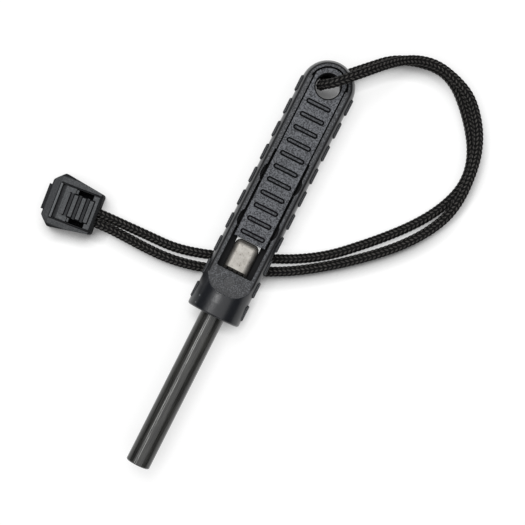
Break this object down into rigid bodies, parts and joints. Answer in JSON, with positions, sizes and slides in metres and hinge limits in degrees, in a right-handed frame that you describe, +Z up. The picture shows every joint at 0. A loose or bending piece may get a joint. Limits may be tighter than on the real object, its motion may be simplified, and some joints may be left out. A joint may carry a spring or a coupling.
{
  "type": "ferro rod fire starter",
  "caption": "Fire-starting rod in a round-edged grip handle with a snap-in striker and a looped cord lanyard.",
  "frame": {"origin": "middle of the handle and rod together, on the surface that the collar rests on", "axes": "+X across the handle, +Y along it from the rod to the lanyard hole, +Z up out of the striker's face"},
  "size_m": [0.1449, 0.1891, 0.0251],
  "materials": {
    "moulded_nylon": "fine sparked moulding texture",
    "strip_nylon": "fine sparked moulding texture",
    "soft_grip": "matte",
    "ferrocerium": "dark protective coating",
    "scraper_steel": "tumbled",
    "braided_cord": "braided sheath",
    "fitting_nylon": "fine sparked moulding texture"
  },
  "bodies": {
    "handle": {"handle_body": "moulded_nylon", "grip_pads_left": "soft_grip", "grip_pads_right": "soft_grip", "fire_rod": "ferrocerium", "lanyard_strand_front": "braided_cord", "lanyard_strand_back": "braided_cord", "cord_end_shell": "fitting_nylon", "cord_end_insert": "fitting_nylon"},
    "striker": {"striker_grip": "strip_nylon", "striker_blade": "scraper_steel"}
  },
  "joints": [
    {"name": "striker_lift", "type": "slide", "parent": "handle", "child": "striker", "axis": [0, 0, 1], "range_m": [0, 0.025], "deforming": ["lanyard_strand_front"]}
  ]
}
